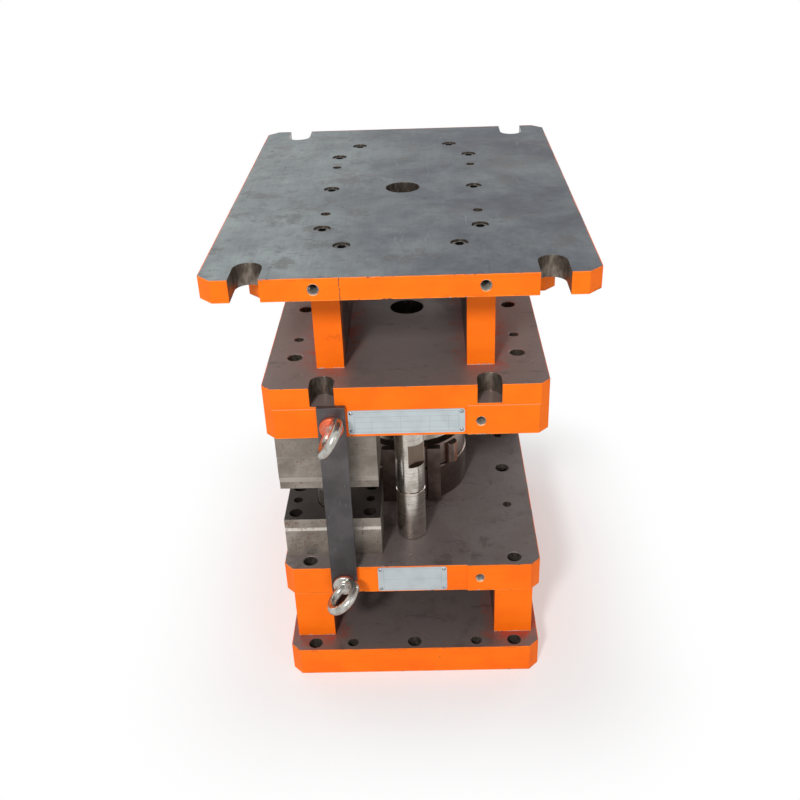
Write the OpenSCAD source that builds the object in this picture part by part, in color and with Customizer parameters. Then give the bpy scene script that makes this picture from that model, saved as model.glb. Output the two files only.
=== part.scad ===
// Drawing die for a press, shown shut: the upper half stands on two stop posts.
// Sizes are in millimetres. X runs across the die, -Y is the front and +Z is up.
// The origin is the centre of the footprint, on the floor under the bottom plate.

/* [Heights] */
// Thickness of the bottom plate
bottom_t = 50; // [40:1:60]
// Height of the two spacers under the lower shoe
lower_spacer_h = 100; // [90:1:120]
// Thickness of the lower shoe
lower_shoe_t = 50; // [44:1:60]
// Distance between the faces of the two shoes when the die is shut
shut_gap = 240; // [236:1:260]
// Thickness of the upper shoe
upper_shoe_t = 80; // [70:1:95]
// Height of the two spacers on the upper shoe
upper_spacer_h = 140; // [120:1:160]
// Thickness of the support plate under the clamp plate
support_t = 30; // [26:1:40]
// Thickness of the clamp plate on top
top_t = 30; // [26:1:40]

/* [Plates] */
// Width of the bottom plate
bottom_w = 400; // [396:1:430]
// Length of the bottom plate, front to back
bottom_l = 580; // [576:1:620]
// Width of the lower shoe
lower_shoe_w = 400; // [396:1:420]
// Width of the upper shoe and of the support plate
upper_shoe_w = 406; // [400:1:420]
// Length of both shoes and of the support plate
shoe_l = 536; // [530:1:560]
// Width of the clamp plate
top_w = 500; // [490:1:540]
// Length of the clamp plate
top_l = 700; // [690:1:740]
// Corner chamfer of the shoes and of the bottom plate
shoe_chamfer = 15; // [8:1:20]
// Corner chamfer of the clamp plate
top_chamfer = 18; // [10:1:25]
// How far the machined pads on the front faces stand out
pad_step = 2; // [1:0.5:3]
// Half width of the recess between the pads
pad_gap = 86; // [85:0.5:86]
// Height of the pads on the upper shoe
pad_h = 47; // [45:1:55]

/* [Spacers] */
// Width of a lower spacer
lower_spacer_w = 60; // [50:1:66]
// Length of a lower spacer
lower_spacer_l = 510; // [480:1:530]
// Distance from the middle of the die to the middle of a lower spacer
lower_spacer_x = 160; // [150:1:162]
// Width of an upper spacer
upper_spacer_w = 40; // [36:1:50]
// Length of an upper spacer
upper_spacer_l = 414; // [400:1:460]
// Distance from the middle of the die to the middle of an upper spacer
upper_spacer_x = 108.5; // [100:0.5:115]

/* [Clamp slots and pockets] */
// Distance from the middle of the die to a clamp slot
slot_x = 191; // [185:1:200]
// Width of a clamp slot
slot_w = 38; // [28:1:42]
// Length of a clamp slot from the edge of the plate
slot_l = 57; // [45:1:65]
// Distance from the middle of the die to a pocket of the upper shoe
pocket_x = 118; // [112:1:122]
// Width of a pocket
pocket_w = 35; // [28:1:38]
// Length of a pocket from the face of the shoe
pocket_l = 38; // [30:1:44]
// Depth of a pocket below the top of the shoe
pocket_depth = 30; // [20:1:34]
// Diameter of the hole through the middle of the clamp plate
centre_hole_d = 52; // [40:1:60]

/* [Guides] */
// Distance across the die from its middle to a guide post
guide_x = 122; // [120:1:123]
// Distance from the middle of the die to a guide post, front to back
guide_y = 182; // [180:1:188]
// Width of the guide blocks
guide_w = 150; // [140:1:152]
// Length of the guide blocks
guide_l = 104; // [100:1:106]
// Height of the lower guide block
guide_block_h = 54; // [50:1:60]
// Thickness of the keeper plate on the lower guide block
post_keeper_t = 16; // [12:1:18]
// Diameter of the guide post
post_d = 50; // [40:1:54]
// Running clearance between post and bush, on the radius
post_play = 0.05; // [0.02:0.01:0.08]
// Wall of the guide bush
bush_wall = 7; // [5:0.5:8]
// Height of the upper guide block, which holds the bush
bush_block_h = 47; // [42:1:52]
// Thickness of the keeper plate under the upper guide block
bush_keeper_t = 12; // [10:1:14]
// Height of the packing block between the upper guide block and the upper shoe
packing_h = 54; // [50:1:58]
// How far the guide post stops short of the upper shoe
post_short = 6; // [4:1:12]
// Height of the bevel on the lower guide block
block_bevel = 6; // [3:1:8]
// Height of the bevel on the upper guide block
bush_bevel = 10; // [5:1:12]

/* [Stop posts] */
// Diameter of a stop post
stop_d = 46; // [38:1:50]
// Distance from the middle of the die to a stop post
stop_y = 177; // [172:1:184]
// Height of the lower stop post
lower_stop_h = 90; // [70:1:110]
// Distance across the spanner flats of the upper stop post
stop_flats = 32.5; // [30:0.5:36]
// Height of the spanner flats
flat_h = 40; // [30:1:45]
// Distance from the joint of the posts up to the flats
flat_up = 48; // [30:1:60]
// Turn of the spanner flats away from the front
flat_turn = 40; // [0:1:90]

/* [Punch and blank holder] */
// Diameter of the punch base
base_d = 190; // [186:1:200]
// Height of the punch base
base_h = 62; // [56:1:66]
// Diameter of the draw punch
punch_d = 98; // [90:1:100]
// Height of the draw punch above its base
punch_h = 95; // [90:1:98]
// Radius of the punch nose
punch_r = 8; // [4:1:10]
// Diameter of the blank holder
holder_d = 186; // [184:1:188]
// Diameter of the round ears of the blank holder
ear_d = 22; // [18:1:24]
// Height of the blank holder
holder_h = 42; // [40:1:48]
// Clearance between punch and blank holder, on the radius
holder_play = 0.5; // [0.3:0.1:1]
// Distance from a cushion pin to the edge of the punch base
pin_edge = 20; // [19:0.5:22]
// Diameter of a cushion pin
pin_d = 20; // [16:1:20]
// Diameter of the cushion plate
cushion_d = 200; // [190:1:220]
// Thickness of the cushion plate
cushion_t = 25; // [20:1:30]
// Width of a guide strip on the blank holder
strip_w = 22; // [18:1:24]
// Distance from the middle of the die to a guide strip, across
strip_x = 38; // [36:1:40]
// Thickness of a guide strip
strip_t = 12; // [10:1:13]

/* [Draw die and knock-out] */
// Distance between the blank holder and the draw die when the die is shut
face_gap = 12; // [6:0.5:14]
// Thickness of the sheet that is drawn
sheet_t = 1.5; // [0.8:0.1:2]
// Diameter of the draw die
die_d = 186; // [180:1:190]
// Height of the draw die
die_h = 50; // [46:1:54]
// Radius of the mouth of the draw die
die_r = 8; // [4:1:10]
// Diameter of the flange of the die holder
flange_d = 240; // [236:1:250]
// Thickness of the flange of the die holder
flange_t = 22; // [18:1:26]
// Thickness of the knock-out pad
pad_t = 30; // [26:1:32]
// Thickness of the flange of the knock-out pad
pad_flange_t = 8; // [6:1:10]
// How far the flange of the knock-out pad stands out
pad_flange = 6; // [4:0.5:8]
// Diameter of the knock-out rod
rod_d = 24; // [18:1:28]
// How far the knock-out rod stops below the top of the upper shoe
rod_low = 30; // [25:1:45]

/* [Transport strap and eye bolts] */
// Distance from the middle of the die to the strap and to the free holes
strap_x = 106; // [105:0.5:108]
// Width of the strap
strap_w = 40; // [34:1:40]
// Thickness of the strap
strap_t = 8; // [6:1:10]
// How far the strap runs past the middle of its lower eye bolt
strap_end = 20; // [18:1:24]
// How far the strap runs past the middle of its upper eye bolt
strap_head = 31; // [24:1:34]
// Height of the upper eye bolt above the face of the upper shoe
upper_eye_z = 22; // [20:1:26]
// Depth of the lower eye bolt below the face of the lower shoe
lower_eye_z = 25; // [22:1:26]
// Thread diameter of the eye bolts and of the holes that they fit
eye_d = 16; // [14:1:18]
// Length of the thread of an eye bolt under its collar
eye_l = 27; // [24:1:32]
// Height of an eye bolt above its seat
eye_h = 62; // [58:1:66]
// Diameter of the collar of an eye bolt
eye_collar_d = 35; // [30:1:37]
// Thickness of the bar of the ring
ring_bar = 14; // [12:1:16]
// Inside diameter of the ring
ring_in = 35; // [32:1:38]
// Turn of the upper ring
upper_ring_turn = 60; // [0:1:180]
// Turn of the lower ring
lower_ring_turn = 40; // [0:1:180]

/* [Nameplates] */
// Width of the nameplate on the upper shoe
upper_name_w = 166; // [120:1:168]
// Height of the nameplate on the upper shoe
upper_name_h = 39; // [30:1:43]
// Width of the nameplate on the lower shoe
lower_name_w = 108; // [80:1:160]
// Height of the nameplate on the lower shoe
lower_name_h = 46; // [30:1:48]
// Thickness of a nameplate
name_t = 1; // [0.8:0.1:1.5]
// Radius of the corners of a nameplate
name_r = 4; // [2:0.5:6]
// Head diameter of a nameplate rivet
rivet_d = 6; // [4:0.5:7]

/* [Screws and holes] */
// Thread diameter of the screws in the guides and the tool
screw_d = 12; // [10:1:13]
// Thread diameter of the screws through the clamp plate
top_screw_d = 14; // [12:1:14]
// Thread diameter of the screws through the bottom plate and the lower shoe
frame_screw_d = 14; // [12:1:14]
// Diameter of the dowels
dowel_d = 14; // [12:1:14]
// Diameter of the largest floor bolt holes, in the middle of the ends
floor_hole_d = 22; // [18:1:24]
// Diameter of the small floor bolt holes
floor_hole_small_d = 17.5; // [14:0.5:20]
// Distance from the floor bolt holes to the ends of the bottom plate
floor_hole_edge = 16; // [15:0.5:18]
// Diameter of the free threaded holes on the upper shoe and at the corners of the lower one
lift_hole_d = 22; // [18:1:24]

/* [Hidden] */
$fn = 64;
eps = 0.5;
orange = [0.96, 0.4, 0.1];
ground = [0.52, 0.53, 0.54];
pale = [0.7, 0.69, 0.66];
bright = [0.78, 0.78, 0.77];
dark = [0.32, 0.34, 0.37];
bronze = [0.72, 0.55, 0.3];
black = [0.16, 0.16, 0.17];

// Levels, from the floor up
z_lower_shoe = bottom_t + lower_spacer_h;
z_lower_face = z_lower_shoe + lower_shoe_t;
z_upper_face = z_lower_face + shut_gap;
z_upper_top = z_upper_face + upper_shoe_t;
z_support = z_upper_top + upper_spacer_h;
z_top = z_support + support_t;
z_end = z_top + top_t;

// Levels of the tool in the middle
z_base = z_lower_face + base_h;
holder_rest = 1;
z_holder = z_base + holder_rest;
z_holder_face = z_holder + holder_h;
z_die = z_holder_face + face_gap;
z_die_top = z_die + die_h;
z_punch_top = z_base + punch_h;
z_pad = z_punch_top + sheet_t;
z_pad_top = z_pad + pad_t;
z_pad_flange = z_pad_top - pad_flange_t;
pad_drop = z_pad - z_die;
seat_gap = 0.3;
z_die_step = z_pad_flange - pad_drop - seat_gap;
pad_room = 6;
z_pad_roof = z_pad_top + pad_room;
z_rod_top = z_upper_top - rod_low;
die_bore = punch_d + 2 * sheet_t;
pad_d = die_bore - 1;
pad_flange_d = pad_d + 2 * pad_flange;
pad_pocket_d = pad_flange_d + 2;
rod_hole_d = rod_d + 2;

// Places that several pieces share
front = -shoe_l / 2;
strip_y = base_d / 2;
pin_pcr = base_d / 2 - pin_edge;
base_screw_edge = 19;
base_screw_pcr = base_d / 2 - base_screw_edge;
floor_hole_y = bottom_l / 2 - floor_hole_edge;
ear_out = 1;
ear_low = 3;
ear_pcr = holder_d / 2 + ear_out;
recess_y = front + pad_step;
eye_low = z_lower_face - lower_eye_z;
eye_high = z_upper_face + upper_eye_z;
pin_turns = [45, 135, 225, 315];
cross_turns = [0, 90, 180, 270];
punch_screw_pcr = 32;
ring_screw_pcr = (pad_pocket_d + die_d) / 4;
flange_screw_pcr = (die_d / 2 + flange_d / 2) / 2;
guide_screw_x = 58;
guide_screw_y = 34;
lower_frame_y = [-180, 180];
top_screw_y = [-174, 0, 174];
top_dowel_y = 114;
corner_screw_x = 77.5;
corner_screw_y = 240;
spacer_screw_y = [-90, 90];
shoe_dowel_y = 110;
shoe_hole_x = 164;
shoe_hole_y = 170;
corner_hole_y = 248;
floor_hole_x = 161;
floor_hole_in_x = 100;

// Holes that screws and dowels pass or sit in
slack = 0.3;
tap_d = eye_d - 2;
hole_play = 1;
head_play = 3;
dowel_hole_d = dowel_d + 0.4;
thread_depth = 22;
thread_spare = 2;
screw_hole = thread_depth + thread_spare;
tap_cone = 1;
fit_play = 0.1;
block_relief = 3;
bush_d = post_d + 2 * (post_play + bush_wall);
pin_hole_d = pin_d + 2;
press_pin_d = 30;
press_pin_r = 60;
bush_room = 3;
bush_clear_d = post_d + 2 * bush_room;
rod_room_d = centre_hole_d + 2;
vent_d = 8;

// How deep the heads of screws sit, from the face of the piece down to the seat of the head
head_sink = 2;
tool_head_sink = 4;
shoe_head_sink = 8;
guide_head_sink = 14;
frame_seat = frame_screw_d + head_sink;
shoe_screw_seat = frame_screw_d + shoe_head_sink;
base_seat = screw_d + head_sink;
punch_seat = screw_d + tool_head_sink;
guide_seat = screw_d + guide_head_sink;
bush_seat = screw_d + tool_head_sink;
spacer_seat = screw_d + head_sink;
top_seat = top_screw_d + head_sink;
flange_seat = flange_t / 2;
die_screw_seat = 40;

// Blind holes, and how far dowels stop below the face over them
eye_hole_l = eye_l + 4;
corner_hole_depth = 40;
shoe_hole_depth = 45;
shoe_dowel_depth = 35;
shoe_dowel_low = 12;
guide_dowel_low = 6;
top_dowel_low = 10;

// Chamfers, and the shape of the collar of an eye bolt
ring_chamfer = 2;
post_chamfer = 1.5;
pad_chamfer = 1;
lead_in = 6;
lead_in_depth = 3;
eye_collar_h = 6;
eye_cone_step = 2;
rivet_inset = 1.5;
strip_play = 0.5;
strip_lift = 1;

// A plate with its four corners cut off, standing on z = 0
module plate(w, l, t, c) {
    linear_extrude(t)
        polygon([
            [-w / 2 + c, -l / 2], [w / 2 - c, -l / 2], [w / 2, -l / 2 + c], [w / 2, l / 2 - c],
            [w / 2 - c, l / 2], [-w / 2 + c, l / 2], [-w / 2, l / 2 - c], [-w / 2, -l / 2 + c]]);
}

// A vertical hole, from z = 0 up to h, a little longer at both ends
module hole(d, h) {
    translate([0, 0, -eps]) cylinder(d = d, h = h + 2 * eps);
}

// A stepped hole for a cap screw whose head sits `deep` below the top of a piece of height h
module head_hole(d, h, deep) {
    hole(d + hole_play, h);
    translate([0, 0, h - deep]) cylinder(d = 1.5 * d + head_play, h = deep + eps);
}

// A slot open at the edge y = 0 that runs to y = l with a round end
module open_slot(w, l, h) {
    translate([-w / 2, -eps, 0]) cube([w, l - w / 2 + eps, h]);
    translate([0, l - w / 2, 0]) cylinder(d = w, h = h);
}

// A socket head cap screw: the seat of its head is at z = 0 and the thread points down
module cap_screw(d, l) {
    difference() {
        union() {
            cylinder(d = 1.5 * d, h = d);
            translate([0, 0, -l]) cylinder(d = d, h = l + eps);
        }
        translate([0, 0, d / 2]) cylinder(d = 0.93 * d, h = d, $fn = 6);
    }
}

// Places a piece on all four corners of a rectangle
module four(x, y) {
    for (sx = [-1, 1], sy = [-1, 1])
        translate([sx * x, sy * y, 0]) children();
}

// Places a piece on both sides, left and right
module pair(x, y = 0) {
    for (sx = [-1, 1])
        translate([sx * x, y, 0]) children();
}

// Places a piece on a circle, at each of the given angles
module ring_of(r, turns) {
    for (a = turns)
        rotate([0, 0, a]) translate([r, 0, 0]) children();
}

// The front guide unit stands at the left and the back one at the right
module guide_place(back) {
    rotate([0, 0, back ? 180 : 0]) translate([-guide_x, -guide_y, 0]) children();
}

// A threaded blind hole with a small countersink; its mouth is at z = 0 and it goes down
module tapped(d, deep) {
    translate([0, 0, -deep]) cylinder(d = d, h = deep + eps);
    translate([0, 0, -tap_cone]) cylinder(d1 = d, d2 = d + 2 * (tap_cone + eps), h = tap_cone + eps);
}

// Turns a piece that points up so that it points out of the front face
module on_front(x, z, y) {
    translate([x, y, z]) rotate([90, 0, 0]) children();
}

// The hole of an eye bolt on the left of a shoe and a free threaded hole on the right
module eye_holes() {
    on_front(-strap_x, 0, front) tapped(eye_d + slack, eye_hole_l);
    on_front(strap_x, 0, front) tapped(tap_d, eye_hole_l);
}

module bottom_plate() {
    color(orange) difference() {
        plate(bottom_w, bottom_l, bottom_t, shoe_chamfer);
        four(floor_hole_x, floor_hole_y) hole(floor_hole_d, bottom_t);
        four(floor_hole_in_x, floor_hole_y) hole(floor_hole_small_d, bottom_t);
        for (sy = [-1, 1])
            translate([0, sy * floor_hole_y, 0]) hole(floor_hole_d, bottom_t);
        for (y = lower_frame_y)
            pair(lower_spacer_x, y) translate([0, 0, bottom_t]) rotate([180, 0, 0])
                head_hole(frame_screw_d, bottom_t, frame_seat);
        ring_of(press_pin_r, cross_turns) hole(press_pin_d, bottom_t);
    }
}

// One lower spacer, with the holes for its screws and dowels
module lower_spacer(side) {
    color(orange) translate([side * lower_spacer_x, 0, bottom_t]) difference() {
        translate([-lower_spacer_w / 2, -lower_spacer_l / 2, 0])
            cube([lower_spacer_w, lower_spacer_l, lower_spacer_h]);
        for (y = lower_frame_y)
            translate([0, y, -eps]) cylinder(d = frame_screw_d + slack, h = screw_hole + eps);
        translate([0, 0, lower_spacer_h]) tapped(frame_screw_d + slack, screw_hole);
        for (sy = [-1, 1])
            translate([0, sy * shoe_dowel_y, lower_spacer_h]) tapped(dowel_hole_d, thread_depth);
    }
}

module lower_shoe() {
    color(orange) translate([0, 0, z_lower_shoe]) difference() {
        plate(lower_shoe_w, shoe_l, lower_shoe_t, shoe_chamfer);
        translate([-pad_gap, front - eps, -eps]) cube([2 * pad_gap, pad_step + eps, lower_shoe_t + 2 * eps]);
        pair(lower_spacer_x) head_hole(frame_screw_d, lower_shoe_t, shoe_screw_seat);
        four(lower_spacer_x, shoe_dowel_y) hole(dowel_hole_d, lower_shoe_t);
        four(lower_spacer_x, corner_hole_y) translate([0, 0, lower_shoe_t]) tapped(lift_hole_d, corner_hole_depth);
        translate([0, 0, lower_shoe_t - lower_eye_z]) eye_holes();
        ring_of(pin_pcr, pin_turns) hole(pin_hole_d, lower_shoe_t);
        ring_of(base_screw_pcr, cross_turns) translate([0, 0, lower_shoe_t]) rotate([180, 0, 0])
            head_hole(screw_d, lower_shoe_t, base_seat);
        for (back = [false, true])
            guide_place(back) {
                four(guide_screw_x, guide_screw_y) translate([0, 0, lower_shoe_t])
                    tapped(screw_d + slack, screw_hole);
                pair(guide_screw_x) translate([0, 0, lower_shoe_t]) tapped(dowel_hole_d, screw_hole);
            }
    }
}

// A thin plate with round corners, standing in the X-Z plane with its back at y = 0
module name_sheet(w, h) {
    rotate([90, 0, 0]) linear_extrude(name_t) {
        translate([-w / 2 + name_r, -h / 2]) square([w - 2 * name_r, h]);
        translate([-w / 2, -h / 2 + name_r]) square([w, h - 2 * name_r]);
        for (sx = [-1, 1], sz = [-1, 1])
            translate([sx * (w / 2 - name_r), sz * (h / 2 - name_r)]) circle(r = name_r);
    }
}

// Four low domed rivet heads near the corners of a nameplate
module rivets(w, h) {
    inset = rivet_d / 2 + rivet_inset;
    for (sx = [-1, 1], sz = [-1, 1])
        translate([sx * (w / 2 - inset), -name_t, sz * (h / 2 - inset)]) rotate([90, 0, 0])
            rotate_extrude($fn = 24) intersection() {
                translate([0, -rivet_d * 0.35]) circle(r = rivet_d * 0.61, $fn = 48);
                square([rivet_d, rivet_d]);
            }
}

module lower_nameplate() {
    color(bright) translate([0, recess_y, z_lower_shoe + lower_shoe_t / 2])
        name_sheet(lower_name_w, lower_name_h);
}

module lower_nameplate_rivets() {
    color(bright) translate([0, recess_y, z_lower_shoe + lower_shoe_t / 2])
        rivets(lower_name_w, lower_name_h);
}

// Screws up through the bottom plate and down through the lower shoe, into the spacers
module lower_frame_screws() {
    color(black) {
        for (y = lower_frame_y)
            pair(lower_spacer_x, y) translate([0, 0, frame_seat]) rotate([180, 0, 0])
                cap_screw(frame_screw_d, bottom_t - frame_seat + thread_depth);
        pair(lower_spacer_x) translate([0, 0, z_lower_face - shoe_screw_seat])
            cap_screw(frame_screw_d, lower_shoe_t - shoe_screw_seat + thread_depth);
    }
}

module lower_dowels() {
    color(bright) four(lower_spacer_x, shoe_dowel_y)
        translate([0, 0, z_lower_shoe - thread_depth + thread_spare])
            cylinder(d = dowel_d, h = thread_depth - thread_spare + lower_shoe_t - shoe_dowel_low);
}

// A guide block with a bevelled edge along its front and back, on z = 0; the bevel is at the top
module bevelled_block(h, bevel) {
    rotate([90, 0, 90]) translate([0, 0, -guide_w / 2]) linear_extrude(guide_w)
        polygon([
            [-guide_l / 2, 0], [guide_l / 2, 0], [guide_l / 2, h - bevel],
            [guide_l / 2 - block_relief, h], [-guide_l / 2 + block_relief, h], [-guide_l / 2, h - bevel]]);
}

// A plain block of the guide unit
module plain_block(h, inset = 0) {
    translate([-guide_w / 2, -guide_l / 2 + inset, 0]) cube([guide_w, guide_l - 2 * inset, h]);
}

module guide_block(back) {
    color(pale) guide_place(back) translate([0, 0, z_lower_face]) difference() {
        bevelled_block(guide_block_h, block_bevel);
        hole(post_d + fit_play, guide_block_h);
        four(guide_screw_x, guide_screw_y) head_hole(screw_d, guide_block_h, guide_seat - post_keeper_t);
        pair(guide_screw_x) hole(dowel_hole_d, guide_block_h);
    }
}

module post_keeper(back) {
    color(pale) guide_place(back) translate([0, 0, z_lower_face + guide_block_h]) difference() {
        plain_block(post_keeper_t);
        hole(post_d + 2, post_keeper_t);
        four(guide_screw_x, guide_screw_y) hole(1.5 * screw_d + head_play, post_keeper_t);
        pair(guide_screw_x) hole(dowel_hole_d, post_keeper_t);
    }
}

// The post is a profile turned about its axis, with a lead-in taper at the top
module guide_post(back) {
    post_h = shut_gap - post_short;
    color(bright) guide_place(back) translate([0, 0, z_lower_face])
        rotate_extrude() polygon([
            [0, 0], [post_d / 2 - post_chamfer, 0], [post_d / 2, post_chamfer], [post_d / 2, post_h - lead_in],
            [post_d / 2 - lead_in_depth, post_h], [0, post_h]]);
}

module guide_block_screws() {
    color(black) for (back = [false, true])
        guide_place(back) four(guide_screw_x, guide_screw_y)
            translate([0, 0, z_lower_face + guide_block_h + post_keeper_t - guide_seat])
                cap_screw(screw_d, guide_block_h + post_keeper_t - guide_seat + thread_depth);
}

module guide_block_dowels() {
    color(bright) for (back = [false, true])
        guide_place(back) pair(guide_screw_x) translate([0, 0, z_lower_face - thread_depth + thread_spare])
            cylinder(d = dowel_d, h = thread_depth - thread_spare + guide_block_h - guide_dowel_low);
}

// Turned stop posts stand in front and behind; they meet when the die is shut
module stop_place(back) {
    rotate([0, 0, back ? 180 : 0]) translate([0, -stop_y, 0]) children();
}

module turned_post(h) {
    c = post_chamfer;
    rotate_extrude() polygon([
        [0, 0], [stop_d / 2 - c, 0], [stop_d / 2, c], [stop_d / 2, h - c], [stop_d / 2 - c, h], [0, h]]);
}

module lower_stop_post(back) {
    color(bright) stop_place(back) translate([0, 0, z_lower_face]) turned_post(lower_stop_h);
}

module upper_stop_post(back) {
    color(bright) stop_place(back) translate([0, 0, z_lower_face + lower_stop_h]) difference() {
        turned_post(shut_gap - lower_stop_h);
        for (turn = [0, 180])
            rotate([0, 0, flat_turn + turn])
                translate([-stop_d, -stop_d - stop_flats / 2, flat_up]) cube([2 * stop_d, stop_d, flat_h]);
    }
}

// The slots in which the guide strips of the blank holder slide
module strip_slots(h, side_play, depth_play) {
    for (turn = [0, 180])
        rotate([0, 0, turn]) pair(strip_x)
            translate([-strip_w / 2 - side_play, -base_d, -eps])
                cube([strip_w + 2 * side_play, base_d - strip_y + strip_t + depth_play, h + 2 * eps]);
}

module punch_base() {
    c = ring_chamfer;
    color(ground) translate([0, 0, z_lower_face]) difference() {
        rotate_extrude($fn = 128) polygon([
            [0, 0], [base_d / 2, 0], [base_d / 2, base_h - c], [base_d / 2 - c, base_h], [0, base_h]]);
        strip_slots(base_h, strip_play, strip_play);
        ring_of(pin_pcr, pin_turns) hole(pin_hole_d, base_h);
        ring_of(base_screw_pcr, cross_turns) translate([0, 0, -eps])
            cylinder(d = screw_d + slack, h = screw_hole + eps);
        ring_of(punch_screw_pcr, cross_turns) translate([0, 0, base_h]) rotate([180, 0, 0])
            head_hole(screw_d, base_h, punch_seat);
        hole(vent_d, base_h);
    }
}

// The punch is a turned profile whose nose is a quarter circle
module draw_punch() {
    nose = [for (a = [0 : 10 : 90])
        [punch_d / 2 - punch_r + punch_r * cos(a), punch_h - punch_r + punch_r * sin(a)]];
    color(bright) translate([0, 0, z_base]) difference() {
        rotate_extrude($fn = 96) polygon(concat([[vent_d / 2, punch_h], [vent_d / 2, 0], [punch_d / 2, 0]], nose));
        ring_of(punch_screw_pcr, cross_turns) translate([0, 0, -eps])
            cylinder(d = screw_d + slack, h = screw_hole + eps);
    }
}

module punch_base_screws() {
    color(black) ring_of(base_screw_pcr, cross_turns)
        translate([0, 0, z_lower_shoe + base_seat]) rotate([180, 0, 0])
            cap_screw(screw_d, lower_shoe_t - base_seat + thread_depth);
}

module punch_screws() {
    color(black) ring_of(punch_screw_pcr, cross_turns)
        translate([0, 0, z_lower_face + punch_seat]) rotate([180, 0, 0])
            cap_screw(screw_d, base_h - punch_seat + thread_depth);
}

// An eye bolt along +Z: the collar stands on z = 0, the ring is above and the thread below
module eye_bolt(turn) {
    color(bright) {
        translate([0, 0, -eye_l]) cylinder(d = eye_d, h = eye_l + eps);
        cylinder(d = eye_collar_d, h = eye_collar_h);
        translate([0, 0, eye_collar_h])
            cylinder(d1 = eye_collar_d - 2 * eye_cone_step, d2 = 1.4 * ring_bar, h = 0.4 * ring_bar);
        translate([0, 0, eye_h - ring_bar - ring_in / 2]) rotate([0, 0, turn]) rotate([90, 0, 0])
            rotate_extrude($fn = 96)
                translate([(ring_in + ring_bar) / 2, 0]) circle(d = ring_bar, $fn = 48);
    }
}

module lower_eye_bolt() {
    on_front(-strap_x, eye_low, front - strap_t) eye_bolt(lower_ring_turn);
}

module upper_eye_bolt() {
    on_front(-strap_x, eye_high, front - strap_t) eye_bolt(upper_ring_turn);
}

// The blank holder is a ring with a ground face; it slides up and down around the punch.
// Its four round ears are where it is gripped and lifted out.
module blank_holder_ring() {
    c = ring_chamfer;
    bore_r = punch_d / 2 + holder_play;
    color(ground) translate([0, 0, z_holder]) difference() {
        union() {
            rotate_extrude($fn = 128) polygon([
                [bore_r, 0], [holder_d / 2 - c, 0], [holder_d / 2, c], [holder_d / 2, holder_h - c],
                [holder_d / 2 - c, holder_h], [bore_r, holder_h]]);
            ring_of(ear_pcr, pin_turns) translate([0, 0, ear_low]) cylinder(d = ear_d, h = holder_h - 2 * ear_low);
        }
        strip_slots(holder_h, 0, 0);
    }
}

// Four strips screwed to the blank holder, which slide in the slots of the punch base
module guide_strips() {
    strip_h = z_holder_face - z_lower_face - strip_lift;
    color(ground) for (turn = [0, 180])
        rotate([0, 0, turn]) pair(strip_x)
            translate([-strip_w / 2, -strip_y, z_lower_face + strip_lift]) cube([strip_w, strip_t, strip_h]);
}

module cushion_pins() {
    color(bright) ring_of(pin_pcr, pin_turns) translate([0, 0, bottom_t + cushion_t])
        cylinder(d = pin_d, h = z_holder - bottom_t - cushion_t);
}

module cushion_plate() {
    c = ring_chamfer;
    color(ground) translate([0, 0, bottom_t]) rotate_extrude($fn = 96) polygon([
        [0, 0], [cushion_d / 2 - c, 0], [cushion_d / 2, c], [cushion_d / 2, cushion_t - c],
        [cushion_d / 2 - c, cushion_t], [0, cushion_t]]);
}

module upper_shoe() {
    color(orange) translate([0, 0, z_upper_face]) difference() {
        plate(upper_shoe_w, shoe_l, upper_shoe_t, shoe_chamfer);
        translate([-upper_shoe_w / 2 - eps, front - eps, pad_h])
            cube([upper_shoe_w + 2 * eps, pad_step + eps, upper_shoe_t]);
        translate([-pad_gap, front - eps, -eps]) cube([2 * pad_gap, pad_step + eps, upper_shoe_t]);
        for (turn = [0, 180])
            rotate([0, 0, turn]) pair(pocket_x, front) translate([0, 0, upper_shoe_t - pocket_depth])
                open_slot(pocket_w, pocket_l, pocket_depth + eps);
        hole(rod_room_d, upper_shoe_t);
        pair(shoe_hole_x) translate([0, 0, upper_shoe_t]) tapped(lift_hole_d, shoe_hole_depth);
        four(shoe_hole_x, shoe_hole_y) translate([0, 0, upper_shoe_t]) tapped(lift_hole_d, shoe_hole_depth);
        four(shoe_hole_x, shoe_dowel_y) translate([0, 0, upper_shoe_t]) tapped(dowel_hole_d, shoe_dowel_depth);
        translate([0, 0, upper_eye_z]) eye_holes();
        for (y = spacer_screw_y)
            pair(upper_spacer_x, y) translate([0, 0, upper_shoe_t]) rotate([180, 0, 0])
                head_hole(screw_d, upper_shoe_t, spacer_seat);
        ring_of(flange_screw_pcr, pin_turns) translate([0, 0, -eps])
            cylinder(d = screw_d + slack, h = screw_hole + eps);
        for (back = [false, true])
            guide_place(back) four(guide_screw_x, guide_screw_y) translate([0, 0, -eps])
                cylinder(d = screw_d + slack, h = screw_hole + eps);
    }
}

// One upper spacer, with the holes for its screws and dowels
module upper_spacer(side) {
    color(orange) translate([side * upper_spacer_x, 0, z_upper_top]) difference() {
        translate([-upper_spacer_w / 2, -upper_spacer_l / 2, 0])
            cube([upper_spacer_w, upper_spacer_l, upper_spacer_h]);
        for (y = top_screw_y)
            translate([0, y, upper_spacer_h]) tapped(top_screw_d + slack, screw_hole);
        for (sy = [-1, 1])
            translate([0, sy * top_dowel_y, upper_spacer_h]) tapped(dowel_hole_d, thread_depth);
        for (y = spacer_screw_y)
            translate([0, y, -eps]) cylinder(d = screw_d + slack, h = screw_hole + eps);
    }
}

// Holes that pass both plates on top: screws and dowels into the spacers
module spacer_pattern() {
    for (y = top_screw_y)
        pair(upper_spacer_x, y) children(0);
    four(upper_spacer_x, top_dowel_y) children(1);
}

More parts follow.
